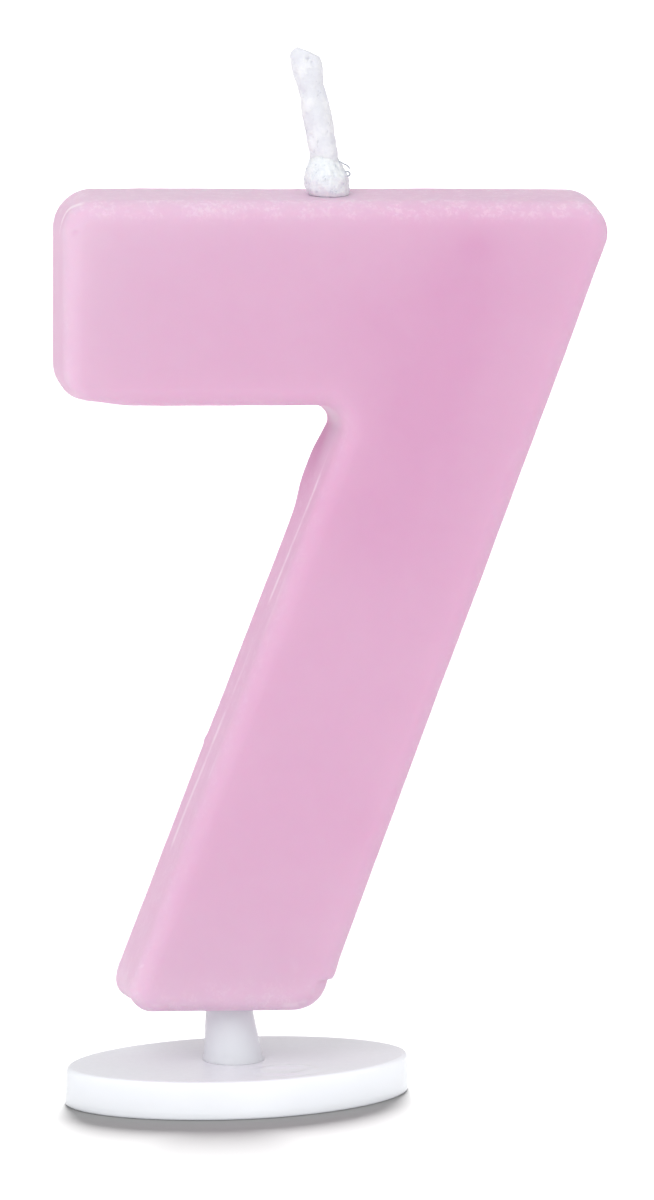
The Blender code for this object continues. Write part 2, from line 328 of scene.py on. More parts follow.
def ring_mesh(name, rings):
    """One closed body: rings of equally many points, bridged in turn, capped at both ends."""
    shape = bmesh.new()
    loops = [[shape.verts.new(point) for point in ring] for ring in rings]
    count = len(loops[0])
    for lower, upper in zip(loops, loops[1:]):
        for i in range(count):
            j = (i + 1) % count
            shape.faces.new((lower[i], lower[j], upper[j], upper[i]))
    for loop in (loops[0], loops[-1]):
        middle = sum((vertex.co for vertex in loop), Vector()) / count
        hub = shape.verts.new(middle)
        for i in range(count):
            shape.faces.new((loop[i], loop[(i + 1) % count], hub))
    return finished_mesh(name, shape)


def smooth_step(low, high, value):
    """0 at low, 1 at high and a smooth rise between them; low may be the larger."""
    t = min(1.0, max(0.0, (value - low) / (high - low)))
    return t * t * (3.0 - 2.0 * t)


def bell(distance, width):
    """1 at no distance, falling off over the width."""
    return math.exp(-(distance / width) ** 2)


def lumps(point, size, seed):
    """Smooth noise of about -1 to 1, with lumps of the given size."""
    return noise.noise(point / size + Vector((seed, 2.7 * seed, -1.3 * seed)))


def uneven_by(point, layers):
    """How far a surface stands out where layers of (size, height) in mm and seed add up."""
    return sum(height * MM * lumps(point, size * MM, seed) for size, height, seed in layers)


def fade(strength_and_reach, distance):
    """A strength that dies away over its reach."""
    strength, reach = strength_and_reach
    return strength * math.exp(-distance / reach)


def patch(strength_and_width, distance):
    """A strength that falls off over its width."""
    strength, width = strength_and_width
    return strength * bell(distance, width)


def ring_angles(sides):
    return [math.tau * i / sides for i in range(sides)]


# ---------------------------------------------------------------- node helpers

class Nodes:
    """Builds one material's node tree."""

    def __init__(self, name):
        self.material = bpy.data.materials.new(name)
        self.material.use_nodes = True
        self.tree = self.material.node_tree
        self.shader = self.tree.nodes["Principled BSDF"]

    def add(self, kind, inputs=None, **settings):
        node = self.tree.nodes.new(kind)
        for key, value in settings.items():
            setattr(node, key, value)
        for key, value in (inputs or {}).items():
            self.feed(node.inputs[key], value)
        return node

    def feed(self, socket, value):
        """Links another node's output to the socket, or sets the socket's value."""
        if isinstance(value, bpy.types.NodeSocket):
            self.tree.links.new(value, socket)
        else:
            socket.default_value = value

    def set(self, **values):
        """Sets the shader's inputs, with _ for each space in their names."""
        for key, value in values.items():
            self.feed(self.shader.inputs[key.replace("_", " ")], value)

    def noise(self, scale, detail=2.0, roughness=0.5, offset=(0.0, 0.0, 0.0)):
        """Noise with about scale lumps to the metre."""
        coordinates = self.add("ShaderNodeTexCoord")
        shift = self.add("ShaderNodeVectorMath", {0: coordinates.outputs["Object"], 1: offset},
                         operation="ADD")
        texture = self.add("ShaderNodeTexNoise", {
            "Vector": shift.outputs["Vector"], "Scale": scale, "Detail": detail,
            "Roughness": roughness})
        return texture.outputs["Fac"]

    def math(self, operation, first, second=0.0, third=0.0):
        """A Math node's result."""
        node = self.add("ShaderNodeMath", operation=operation)
        for socket, value in zip(node.inputs, (first, second, third)):
            self.feed(socket, value)
        return node.outputs[0]

    def remap(self, value, low, high, to_low=0.0, to_high=1.0):
        """The value's smooth step from low to high, as a step from to_low to to_high."""
        node = self.add("ShaderNodeMapRange", {
            "Value": value, "From Min": low, "From Max": high, "To Min": to_low, "To Max": to_high},
            interpolation_type="SMOOTHSTEP")
        return node.outputs["Result"]

    def mix(self, share, first, second):
        """Colour between the first, at a share of 0, and the second, at 1."""
        node = self.add("ShaderNodeMix", data_type="RGBA")
        factor, first_colour, second_colour = (node.inputs[i] for i in (0, 6, 7))
        self.feed(factor, share)
        self.feed(first_colour, first)
        self.feed(second_colour, second)
        return node.outputs[2]

    def ramp(self, value, stops):
        """Colour at a value, between stops of (position, colour)."""
        node = self.add("ShaderNodeValToRGB", {"Fac": value})
        elements = node.color_ramp.elements
        while len(elements) < len(stops):
            elements.new(0.5)
        for element, (position, colour) in zip(elements, stops):
            element.position = position
            element.color = (*colour, 1.0)
        return node.outputs["Color"]

    def bump(self, height, strength, distance, normal=None):
        node = self.add("ShaderNodeBump", {
            "Height": height, "Strength": strength, "Distance": distance})
        if normal:
            self.feed(node.inputs["Normal"], normal)
        return node.outputs["Normal"]

    def attribute(self, name):
        return self.add("ShaderNodeAttribute", attribute_name=name).outputs["Fac"]


# ---------------------------------------------------------------- materials

def pink_wax():
    """Translucent pink paraffin: deeper where it is thick, frosted, paler along its edges where light
    glowing through is painted in, and with painted highlights on its rounded edges.
    """
    n = Nodes("pink_wax")
    cloud = n.noise(scale=95.0, detail=3.0, roughness=0.55)
    cloud = n.math("MULTIPLY_ADD", cloud, 0.30, -0.15)
    mottle = n.noise(scale=420.0, detail=3.0, roughness=0.6, offset=(0.3, 0.1, 0.7))
    mottle = n.math("MULTIPLY_ADD", mottle, 0.16, -0.08)
    depth = n.math("ADD", n.attribute("depth"), n.math("ADD", cloud, mottle))
    body = n.ramp(depth, WAX_TONES)

    grains = n.remap(n.noise(scale=2600.0, detail=3.0, roughness=0.7), 0.46, 0.60, 0.2, 1.0)
    patches = n.noise(scale=700.0, detail=3.0, roughness=0.6, offset=(0.9, 0.4, 0.2))
    patches = n.remap(patches, 0.36, 0.62)
    frost = n.math("MULTIPLY", n.math("MULTIPLY", grains, patches), n.attribute("frost"))
    # The painted highlights on the rounded edges, the white scratches and the frost are mixed toward the
    # pale tone
    gaps = n.noise(scale=420.0, detail=3.0, roughness=0.6, offset=(0.5, 0.2, 0.6))
    highlight_and_scratch = n.math("MULTIPLY", n.attribute("highlight_and_scratch"), n.remap(gaps, 0.34, 0.58, 0.3, 1.0))
    frost_and_highlight = n.math("MAXIMUM", n.math("MULTIPLY", frost, 0.32), highlight_and_scratch)

    ripple = n.noise(scale=300.0, detail=2.0, roughness=0.5, offset=(0.2, 0.8, 0.5))
    relief = n.bump(ripple, strength=0.30, distance=0.12 * MM)
    skin = n.noise(scale=1700.0, detail=4.0, roughness=0.6)
    relief = n.bump(skin, strength=0.35, distance=0.03 * MM, normal=relief)
    relief = n.bump(frost, strength=0.35, distance=0.05 * MM, normal=relief)
    n.set(Base_Color=n.mix(frost_and_highlight, body, FROST_AND_HIGHLIGHT_TONE), Normal=relief,
          Roughness=n.math("MULTIPLY_ADD", frost, 0.20, 0.48),
          Subsurface_Weight=0.55, Subsurface_Radius=(1.0, 0.45, 0.70), Subsurface_Scale=3.0 * MM,
          IOR=1.44, Specular_IOR_Level=0.10)
    return n.material


def waxed_cotton():
    """White cotton plies under a skin of wax, blotched grey partly where the wax is thin and partly as
    painted shading of its lumps, with painted shade in its pits.
    """
    n = Nodes("waxed_cotton")
    thin_wax_shaded = (0.77, 0.78, 0.83, 1.0)
    thick_wax_lit = (0.86, 0.865, 0.895, 1.0)
    pit_shade = (0.48, 0.50, 0.57, 1.0)
    grain = n.noise(scale=1500.0, detail=4.0, roughness=0.65)
    soak_and_shading = n.noise(scale=650.0, detail=3.0, roughness=0.6, offset=(0.4, 0.6, 0.1))
    soak_and_shading = n.remap(soak_and_shading, 0.36, 0.62)
    # Darker where the grain is low: painted shade in the pits
    pit_shade_share = n.math("MULTIPLY", n.remap(grain, 0.40, 0.28), 0.5)
    colour = n.mix(pit_shade_share, n.mix(soak_and_shading, thin_wax_shaded, thick_wax_lit), pit_shade)
    relief = n.bump(soak_and_shading, strength=0.5, distance=0.12 * MM)
    relief = n.bump(grain, strength=0.7, distance=0.10 * MM, normal=relief)
    n.set(Base_Color=colour, Normal=relief, Roughness=0.5, Subsurface_Weight=0.35,
          Subsurface_Radius=(0.9, 0.9, 1.0), Subsurface_Scale=0.5 * MM)
    return n.material


def frosted_wax():
    """Crystalline white wax of the collar."""
    n = Nodes("frosted_wax")
    crystal = n.noise(scale=1900.0, detail=4.0, roughness=0.7)
    colour = n.ramp(crystal, (
        (0.32, (0.56, 0.61, 0.67)),
        (0.41, (0.80, 0.84, 0.88)),
        (0.58, (0.87, 0.90, 0.92)),
        (0.72, (0.95, 0.96, 0.97)),
    ))
    relief = n.bump(crystal, strength=0.8, distance=0.12 * MM)
    n.set(Base_Color=colour, Normal=relief, Roughness=0.45, Subsurface_Weight=0.4,
          Subsurface_Radius=(0.9, 0.9, 1.0), Subsurface_Scale=0.6 * MM)
    return n.material


def stray_cotton():
    """Bare cotton without its skin of wax, greyer than the rest."""
    n = Nodes("stray_cotton")
    strands = n.noise(scale=5000.0, detail=3.0, roughness=0.6)
    colour = n.mix(n.remap(strands, 0.35, 0.65), (0.40, 0.43, 0.48, 1.0), (0.60, 0.63, 0.68, 1.0))
    n.set(Base_Color=colour, Normal=n.bump(strands, strength=0.5, distance=0.02 * MM), Roughness=0.7)
    return n.material


def white_plastic(name, roughness, shade):
    """Glossy white moulded polystyrene with faint flow marks and a very fine moulded skin."""
    n = Nodes(name)
    flow = n.noise(scale=90.0)
    low = (0.950 * shade, 0.975 * shade, 1.020 * shade, 1.0)
    high = (0.975 * shade, 1.000 * shade, 1.045 * shade, 1.0)
    colour = n.mix(n.remap(flow, 0.35, 0.65), low, high)
    skin = n.noise(scale=1800.0)
    relief = n.bump(flow, strength=0.15, distance=0.1 * MM)
    relief = n.bump(skin, strength=0.12, distance=0.01 * MM, normal=relief)
    n.set(Base_Color=colour, Normal=relief,
          Roughness=n.math("MULTIPLY_ADD", skin, 0.10, roughness),
          Subsurface_Weight=0.25, Subsurface_Radius=(1.0, 0.95, 0.9), Subsurface_Scale=1.2 * MM,
          IOR=1.55)
    return n.material


def matt_floor():
    n = Nodes("studio_floor")
    n.set(Base_Color=FLOOR_TONE, Roughness=0.9, Specular_IOR_Level=0.1)
    return n.material


# ---------------------------------------------------------------- numeral

def rounded_outline(corners):
    """Closed outline from (x, z, radius) corners, each corner replaced by a fine arc."""
    points = []
    count = len(corners)
    for i, (x, z, radius) in enumerate(corners):
        corner = Vector((x, z))
        back = (Vector(corners[i - 1][:2]) - corner).normalized()
        ahead = (Vector(corners[(i + 1) % count][:2]) - corner).normalized()
        half_angle = back.angle(ahead) / 2.0
        centre = corner + (back + ahead).normalized() * (radius / math.sin(half_angle))
        start = corner + back * (radius / math.tan(half_angle)) - centre
        end = corner + ahead * (radius / math.tan(half_angle)) - centre
        sweep = start.angle_signed(end)
        first = math.atan2(start.y, start.x)
        for step in range(ARC_STEPS + 1):
            angle = first - sweep * step / ARC_STEPS
            points.append(centre + radius * Vector((math.cos(angle), math.sin(angle))))
    return points


def even_outline(points, step):
    """The closed outline again, with its points a step apart, and the outward normal at each."""
    closed = points + [points[0]]
    lengths = [0.0]
    for a, b in zip(closed, closed[1:]):
        lengths.append(lengths[-1] + (b - a).length)
    count = round(lengths[-1] / step)
    even = []
    at = 0
    for i in range(count):
        target = lengths[-1] * i / count
        while lengths[at + 1] < target:
            at += 1
        share = (target - lengths[at]) / (lengths[at + 1] - lengths[at])
        even.append(closed[at].lerp(closed[at + 1], share))
    normals = []
    for i in range(count):
        along = (even[(i + 1) % count] - even[i - 1]).normalized()
        normals.append(Vector((along.y, -along.x)))
    return even, normals


def numeral_outline():
    """The front's outline, as (x, z) points above the numeral's underside."""
    return rounded_outline((
        (LEG_LEFT, 0.0, LEG_FOOT_LEFT_RADIUS),
        (LEG_RIGHT, 0.0, LEG_FOOT_RIGHT_RADIUS),
        (LEG_RIGHT + LEG_RIGHT_SLOPE * WAX_HEIGHT, WAX_HEIGHT, TOP_RIGHT_RADIUS),
        (BAR_LEFT, WAX_HEIGHT, TOP_LEFT_RADIUS),
        (BAR_LEFT, BAR_UNDERSIDE, BAR_END_RADIUS),
        (LEG_LEFT + LEG_LEFT_SLOPE * BAR_UNDERSIDE, BAR_UNDERSIDE, INNER_RADIUS),
    ))


def leg_flank(y, z):
    """X of the leg's left flank at a place in the numeral's frame."""
    flare = DRAFT_SLOPE * (y + WAX_DEPTH / 2.0)
    return LEG_LEFT + LEG_LEFT_SLOPE * z - flare * math.hypot(1.0, LEG_LEFT_SLOPE)


def wax_marks():
    """Casting marks: (place in the numeral's frame, width, how far the surface stands out)."""
    back = WAX_DEPTH / 2.0
    front = -back
    marks = []

    def mark(x, y, z, width, height):
        marks.append((Vector((x, y, z)), width * MM, height * MM))

    def flank_mark(from_back, z, width, height):
        y = back - from_back
        mark(leg_flank(y, z), y, z, width, height)

    # A swelling behind the foot's left corner, and a pit and a lump in front of it
    mark(LEG_LEFT - 0.6 * MM, back - 1.0 * MM, 0.0, 1.5, 0.60)
    mark(LEG_LEFT + 1.1 * MM, front + 0.9 * MM, 0.30 * MM, 0.50, -0.22)
    mark(LEG_LEFT + 2.6 * MM, front + 0.6 * MM, 0.05 * MM, 0.5, 0.10)
    # A long bulge high on the leg's flank and a nick lower down
    for height_share in (-1.0, 0.0, 1.0):
        flank_mark(1.0 * MM, 46.5 * MM + height_share * 1.7 * MM, 1.6, 0.22)
    flank_mark(0.8 * MM, 22.5 * MM, 0.35, 0.09)
    # A bead under the bar, a pit near its upper left corner and a bead on top, behind the wick
    mark(BAR_LEFT + 6.0 * MM, front + 0.5 * MM, BAR_UNDERSIDE, 0.30, 0.12)
    mark(BAR_LEFT + 0.9 * MM, front + 0.15 * MM, WAX_HEIGHT - 2.6 * MM, 0.18, -0.24)
    mark(WICK_X - 2.5 * MM, back - 1.5 * MM, WAX_HEIGHT + WAX_DRAFT * 0.8, 0.28, 0.16)
    # Two pits in the foot's lower right edge
    mark(6.3 * MM, front + 0.3 * MM, 0.9 * MM, 0.35, -0.18)
    mark(5.2 * MM, front + 0.3 * MM, 0.5 * MM, 0.30, -0.15)
    return marks


def uneven(point, marks):
    """How far the cast surface stands out at a point of the numeral's frame."""
    rise = uneven_by(point, WAX_LUMPS)
    for place_at, width, height in marks:
        distance = (point - place_at).length
        if distance < MARK_REACH * width:
            rise += height * bell(distance, width)
    return rise + lifted(point) + chipped(point)


def lifted(point):
    """The bar's underside, which curves up towards its free end."""
    above = point.z - BAR_UNDERSIDE
    if point.x >= BAR_LEFT + UNDERSIDE_REACH or abs(above) >= 3.0 * MM:
        return 0.0
    slope = smooth_step(BAR_LEFT + UNDERSIDE_REACH, BAR_LEFT + 1.5 * MM, point.x)
    return -UNDERSIDE_LIFT * slope * smooth_step(3.0 * MM, 0.5 * MM, above)


def chipped(point):
    """The chip in the leg's right side, just above its foot, with a sharp ledge over it."""
    edge = LEG_RIGHT + LEG_RIGHT_SLOPE * point.z
    beside = smooth_step(edge - 1.5 * MM, edge - 0.5 * MM, point.x)
    if beside == 0.0 or point.z > 2.0 * CHIP_TOP:
        return 0.0
    lip = CHIP_LIP * bell(point.z - CHIP_TOP - 0.5 * MM, 0.8 * MM)
    bite = smooth_step(CHIP_TOP + 0.1 * MM, CHIP_TOP - 0.12 * MM, point.z)
    bite *= smooth_step(0.2 * MM, CHIP_TOP, point.z)
    return beside * (lip * (1.0 - bite) - CHIP_DEPTH * bite)


def to_segment(point, start, end):
    """Distance from a point to the straight line between two others."""
    along = end - start
    share = min(1.0, max(0.0, (point - start).dot(along) / along.length_squared))
    return (point - start - along * share).length


def on_wall(point):
    """0 on the front face and its rounded edge, 1 on the walls behind."""
    front = -WAX_DEPTH / 2.0
    return smooth_step(front + 0.5 * MM, front + 2.0 * MM, point.y)


def wax_depth(point, distance):
    """How deep the pink looks, 0 to 1: palest along the edges, where light glowing through the thin wax is
    painted in, and deepest where bar and leg meet. High on the leg's flank it carries painted shade under
    the bar, and on the inner corner's flank painted light.
    """
    flat = Vector((point.x, 0.0, point.z))
    depth = PLAIN_DEPTH + patch(HEART, to_segment(flat, HEART_TOP, HEART_BOTTOM))
    right = smooth_step(-6.0 * MM, 4.0 * MM, point.x)
    depth += JOIN_DEPTH * right * smooth_step(48.0 * MM, 56.0 * MM, point.z)
    # Paler towards each edge: painted light glowing through the thin wax there
    depth -= fade(LEFT_GLOW, point.x - BAR_LEFT)
    depth -= fade(TOP_GLOW, WAX_HEIGHT - point.z)
    depth -= fade(BOTTOM_GLOW, point.z)
    depth -= fade(RIM_GLOW, distance)
    on_top = smooth_step(WAX_HEIGHT - 1.0 * MM, WAX_HEIGHT, point.z)
    depth += WALL_DEPTH * on_wall(point) * (1.0 - 0.5 * on_top)
    along_leg = smooth_step(8.0 * MM, 18.0 * MM, point.z) * smooth_step(55.0 * MM, 50.0 * MM, point.z)
    depth += LEG_DEPTH * along_leg
    depth += BAR_END_DEPTH * on_wall(point) * smooth_step(BAR_LEFT + 1.5 * MM, BAR_LEFT, point.x)
    for x, z, width, strength in BLOTCHES:
        depth += strength * bell((flat - Vector((x, 0.0, z)) * MM).length, width * MM)
    # A deep wedge high on the back of the leg's flank: painted shade under the bar
    back = WAX_DEPTH / 2.0 - 0.8 * MM
    wedge_shade = [Vector((leg_flank(back, z), back, z)) for z in WEDGE_SHADE_HEIGHTS]
    depth += patch(WEDGE_SHADE, to_segment(point, *wedge_shade))
    # Paler on the flank of the inner corner: painted light against the shade under the bar
    corner = Vector((leg_flank(0.0, CORNER_LIGHT_HEIGHT), 0.0, CORNER_LIGHT_HEIGHT))
    return depth - patch(PAINTED_CORNER_LIGHT, (point - corner).length)


def wax_frost(point, distance):
    """Where fine white grains lie: the top face and its edge, the leg's flank, and round the foot. On the
    leg's flank they are also painted light against the shade under the bar.
    """
    wall = on_wall(point)
    top = TOP_FROST * smooth_step(WAX_HEIGHT - 2.0 * MM, WAX_HEIGHT - 0.6 * MM, point.z)
    low = BOTTOM_FROST * smooth_step(3.6 * MM, 0.6 * MM, point.z)
    rim = RIM_FROST * smooth_step(1.2 * MM, 0.0, distance)
    foot_corner = Vector((LEG_LEFT, 0.0, 2.0 * MM))
    corner = patch(CORNER_FROST, (point - foot_corner).length)
    edge = leg_flank(point.y, point.z)
    # White grains on the leg's flank, also painted light against the shade under the bar
    flank_frost_and_light = smooth_step(edge + 0.8 * MM, edge, point.x)
    flank_frost_and_light *= FLANK_FROST_AND_LIGHT * wall * smooth_step(50.0 * MM, 44.0 * MM, point.z)
    return max(top, max(low, rim) * (1.0 - 0.65 * wall), corner, flank_frost_and_light)


def wax_highlights_and_scratches(point):
    """Painted highlights along the rounded edges, and white scratches low on the front."""
    total = 0.0
    wobble = Vector((uneven_by(point, HIGHLIGHT_WAVES), 0.0, 0.0))
    gaps = smooth_step(-0.35, 0.05, lumps(point, *HIGHLIGHT_GAPS))
    for start, end, width, strength in HIGHLIGHTS_AND_SCRATCHES:
        start = Vector(start) * MM
        end = Vector(end) * MM
        long = (end - start).length > LONG_HIGHLIGHT
        distance = to_segment(point + wobble if long else point, start, end)
        total = max(total, strength * bell(distance, width * MM) * (gaps if long else 1.0))
    return total


def edge_profile():
    """(inset from the outline, Y, outward lean) from the front face round to the back face."""
    half = WAX_DEPTH / 2.0
    front = half - WAX_EDGE_RADIUS
    back = half - WAX_BACK_EDGE_RADIUS
    rows = []
    for step in range(INSET_STEPS):
        share = step / INSET_STEPS
        rows.append((FACE_INSET + (WAX_EDGE_RADIUS - FACE_INSET) * share, -half, 0.0))
    for step in range(EDGE_STEPS + 1):
        angle = math.pi / 2.0 * step / EDGE_STEPS
        rows.append((WAX_EDGE_RADIUS * (1.0 - math.sin(angle)),
                     -front - WAX_EDGE_RADIUS * math.cos(angle), angle))
    for step in range(1, SIDE_STEPS):
        rows.append((0.0, -front + (front + back) * step / SIDE_STEPS, math.pi / 2.0))
    for step in range(BACK_EDGE_STEPS + 1):
        angle = math.pi / 2.0 * (1.0 + step / BACK_EDGE_STEPS)
        rows.append((WAX_BACK_EDGE_RADIUS * (1.0 - math.sin(angle)),
                     back - WAX_BACK_EDGE_RADIUS * math.cos(angle), angle))
    for step in range(1, BACK_INSET_STEPS + 1):
        share = step / BACK_INSET_STEPS
        rows.append((WAX_BACK_EDGE_RADIUS + (FACE_INSET - WAX_BACK_EDGE_RADIUS) * share, half, math.pi))
    return rows


def nearest_of(points):
    """A tree that finds the nearest of some flat points."""
    tree = kdtree.KDTree(len(points))
    for i, point in enumerate(points):
        tree.insert((point.x, point.y, 0.0), i)
    tree.balance()
    return tree


def face_points(outline, ring):
    """Points in a triangular grid inside the ring, clear of it."""
    tree = nearest_of(ring)
    low_x = min(point.x for point in outline)
    high_x = max(point.x for point in outline)
    inside = []
    row = 0
    z = FACE_STEP
    while z < WAX_HEIGHT:
        x = low_x + (FACE_STEP / 2.0 if row % 2 else 0.0)
        while x < high_x:
            if within(Vector((x, z)), ring) and tree.find((x, z, 0.0))[2] > FACE_CLEARANCE:
                inside.append(Vector((x, z)))
            x += FACE_STEP
        z += FACE_STEP * math.sqrt(3.0) / 2.0
        row += 1
    return inside


def within(point, ring):
    """Whether a point is inside: a line to its right then crosses the ring an odd number of times."""
    odd = False
    for a, b in zip(ring, ring[1:] + ring[:1]):
        if (a.y > point.y) != (b.y > point.y):
            if point.x < a.x + (point.y - a.y) * (b.x - a.x) / (b.y - a.y):
                odd = not odd
    return odd


def numeral_mesh():
    """The whole casting: rows of points round its edges and walls, and a mesh of even triangles on
    its front and back, with the values that its material reads: the depth, with painted light at the edges
    and painted shade and light on the leg's flank, the frost, and the painted highlights and white
    scratches."""
    outline, normals = even_outline(numeral_outline(), OUTLINE_STEP)
    count = len(outline)
    marks = wax_marks()
    shape = bmesh.new()
    depth = shape.verts.layers.float.new("depth")
    frost = shape.verts.layers.float.new("frost")
    highlight_and_scratch = shape.verts.layers.float.new("highlight_and_scratch")

    def vertex(point, outward, distance):
        new = shape.verts.new(point + outward * uneven(point, marks) + Vector((0.0, 0.0, WAX_BASE)))
        new[depth] = wax_depth(point, distance)
        new[frost] = wax_frost(point, distance)
        new[highlight_and_scratch] = wax_highlights_and_scratches(point)
        return new

    rows = []
    for inset, y, angle in edge_profile():
        row = []
        for point, normal in zip(outline, normals):
            flat = point + normal * (DRAFT_SLOPE * (y + WAX_DEPTH / 2.0) - inset)
            outward = Vector((normal.x * math.sin(angle), -math.cos(angle),
                              normal.y * math.sin(angle)))
            row.append(vertex(Vector((flat.x, y, flat.y)), outward, inset))
        rows.append(row)
    for upper, lower in zip(rows, rows[1:]):
        for i in range(count):
            j = (i + 1) % count
            shape.faces.new((upper[i], upper[j], lower[j], lower[i]))

    ring = [point - normal * FACE_INSET for point, normal in zip(outline, normals)]
    grid = face_points(outline, ring)
    points, _, triangles = geometry.delaunay_2d_cdt(
        ring + grid, [], [list(range(count))], 1, 1e-9)[:3]
    edges = nearest_of(outline)
    for side, border in ((-1.0, rows[0]), (1.0, rows[-1])):
        face = list(border)
        for point in points[count:]:
            distance = edges.find((point.x, point.y, 0.0))[2]
            sink = BACK_SINK * smooth_step(*BACK_SINK_REACH, distance) * (side > 0.0)
            flat = Vector((point.x, side * WAX_DEPTH / 2.0 - side * sink, point.y))
            face.append(vertex(flat, Vector((0.0, side, 0.0)), distance))
        for triangle in triangles:
            shape.faces.new([face[i] for i in triangle])
    return finished_mesh("wax_seven", shape)


def cut_out(piece, cutter_mesh):
    """Cuts a closed mesh out of the piece, for good."""
    cutter = place("cutter", cutter_mesh)
    boolean = piece.modifiers.new("cut", "BOOLEAN")
    boolean.operation = "DIFFERENCE"
    boolean.solver = "EXACT"
    boolean.object = cutter
    seen = piece.evaluated_get(bpy.context.evaluated_depsgraph_get())
    mesh = bpy.data.meshes.new_from_object(seen)
    piece.modifiers.clear()
    old = piece.data
    piece.data = mesh
    bpy.data.meshes.remove(old)
    bpy.data.objects.remove(cutter)


def make_numeral():
    """The casting with the wick's channel and the peg's socket cut into it."""
    wax = place("wax_seven", numeral_mesh(), pink_wax())
    cut_out(wax, channel_mesh())
    nose = STEM_HIGH.z + SOCKET_GAP
    cut_out(wax, turned("socket", [
        (PEG_ROOT_RADIUS + SOCKET_GAP, WAX_BASE - 2.0 * MM),
        (PEG_ROOT_RADIUS + SOCKET_GAP, WAX_BASE),
        (PEG_TIP_RADIUS + SOCKET_GAP, nose - 1.0 * MM),
        (PEG_TIP_RADIUS * 0.4, nose),
    ], SOCKET_SIDES))
    wax.data.name = "wax_seven"
    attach(wax, "candle")
    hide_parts("wax_numeral")
    return wax


# ---------------------------------------------------------------- wick and collar

def stroke_middle(height):
    """The middle of the leg at a height above the numeral's underside."""
    slope = (LEG_LEFT_SLOPE + LEG_RIGHT_SLOPE) / 2.0
    return Vector((LEG_LEFT + LEG_WIDTH / 2.0 + slope * height, 0.0, height))


def wick_point(rise):
    """Centre of the wick at a height above the bar: it leans to the left, with small bends."""
    bend = sum(shift * MM * bell(rise - height * MM, width * MM) for height, width, shift in WICK_BENDS)
    return Vector((WICK_X - WICK_LEAN * rise + bend, 0.0, BAR_TOP + rise))


def wick_path():
    """Centre line in the numeral's frame, from the tip down into the leg."""
    points = [wick_point(WICK_ABOVE * (1.0 - step / WICK_FREE_STEPS)) for step in range(WICK_FREE_STEPS)]
    root = wick_point(0.0)
    end = stroke_middle(WICK_END)
    pull_in = Vector((WICK_LEAN, 0.0, -1.0)).normalized() * WICK_PULL
    pull_out = (stroke_middle(WAX_HEIGHT) - end).normalized() * WICK_PULL
    for step in range(WICK_BURIED_STEPS + 1):
        t = step / WICK_BURIED_STEPS
        points.append((1 - t) ** 3 * root + 3 * (1 - t) ** 2 * t * (root + pull_in)
                      + 3 * (1 - t) * t ** 2 * (end + pull_out) + t ** 3 * end)
    return points


def wick_frames():
    """(centre, sideways direction, distance from the tip) along the wick's path."""
    path = wick_path()
    frames = []
    run = 0.0
    for i, point in enumerate(path):
        ahead = (path[min(i + 1, len(path) - 1)] - path[max(i - 1, 0)]).normalized()
        if i:
            run += (point - path[i - 1]).length
        frames.append((point, Vector((ahead.z, 0.0, -ahead.x)), run))
    return frames


def channel_mesh():
    """The smooth hole that the wick runs through, a little wider than the wick."""
    rings = []
    for point, side, _ in wick_frames():
        ring = []
        for angle in ring_angles(CHANNEL_SIDES):
            outward = side * math.cos(angle) + Vector((0.0, math.sin(angle), 0.0))
            ring.append(point + outward * (WICK_RADIUS + WICK_GAP) + Vector((0.0, 0.0, WAX_BASE)))
        rings.append(ring)
    return ring_mesh("channel", rings)


def wick_radius(spot, angle, run):
    """Radius of the waxed cord: a knob at its tip, twisted plies under the wax, lumps and pits."""
    radius = WICK_RADIUS
    for where, width, height in WICK_SWELLINGS:
        radius += height * MM * bell(run - where * MM, width * MM)
    twist = WICK_PLIES * angle + math.tau * run / WICK_PITCH
    radius += PLY_RIDGE * (abs(math.cos(twist / 2.0)) - 0.6)
    radius += uneven_by(spot, WICK_LUMPS)
    for sideways, above, width, height in WICK_MARKS:
        middle = WICK_X - WICK_LEAN * above * MM + sideways * MM
        mark = Vector((middle, -WICK_RADIUS, BAR_TOP + above * MM))
        radius += height * MM * bell((spot - mark).length, width * MM)
    return radius


def wick_mesh():
    """The wick from its slanted tip down into the leg."""
    rings = []
    for point, side, run in wick_frames():
        dome = math.sqrt(1.0 - (1.0 - min(1.0, 0.10 + run / TIP_DOME)) ** 2)
        ring = []
        for angle in ring_angles(WICK_SIDES):
            outward = side * math.cos(angle) + Vector((0.0, math.sin(angle), 0.0))
            spot = point + outward * WICK_RADIUS
            spot = point + outward * wick_radius(spot, angle, run) * dome
            over = spot.z - tip_height(spot)
            if over > 0.0:
                spot.z -= TIP_CRUSH * over
            ring.append(spot + Vector((0.0, 0.0, WAX_BASE)))
        rings.append(ring)
    return ring_mesh("wick_cord", rings)


def tip_height(spot):
    """The slanted cut across the wick's tip, lower to the right, a little rough."""
    left = WICK_X - WICK_LEAN * WICK_ABOVE - 0.5 * MM
    height = BAR_TOP + WICK_ABOVE - 0.15 * MM - TIP_SLOPE * max(0.0, spot.x - left)
    return height + 0.08 * MM * lumps(spot, 0.5 * MM, 11.0)


def make_wick():
    wick = place("wick_cord", wick_mesh(), waxed_cotton(), "candle")
    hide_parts("wick")
    return wick


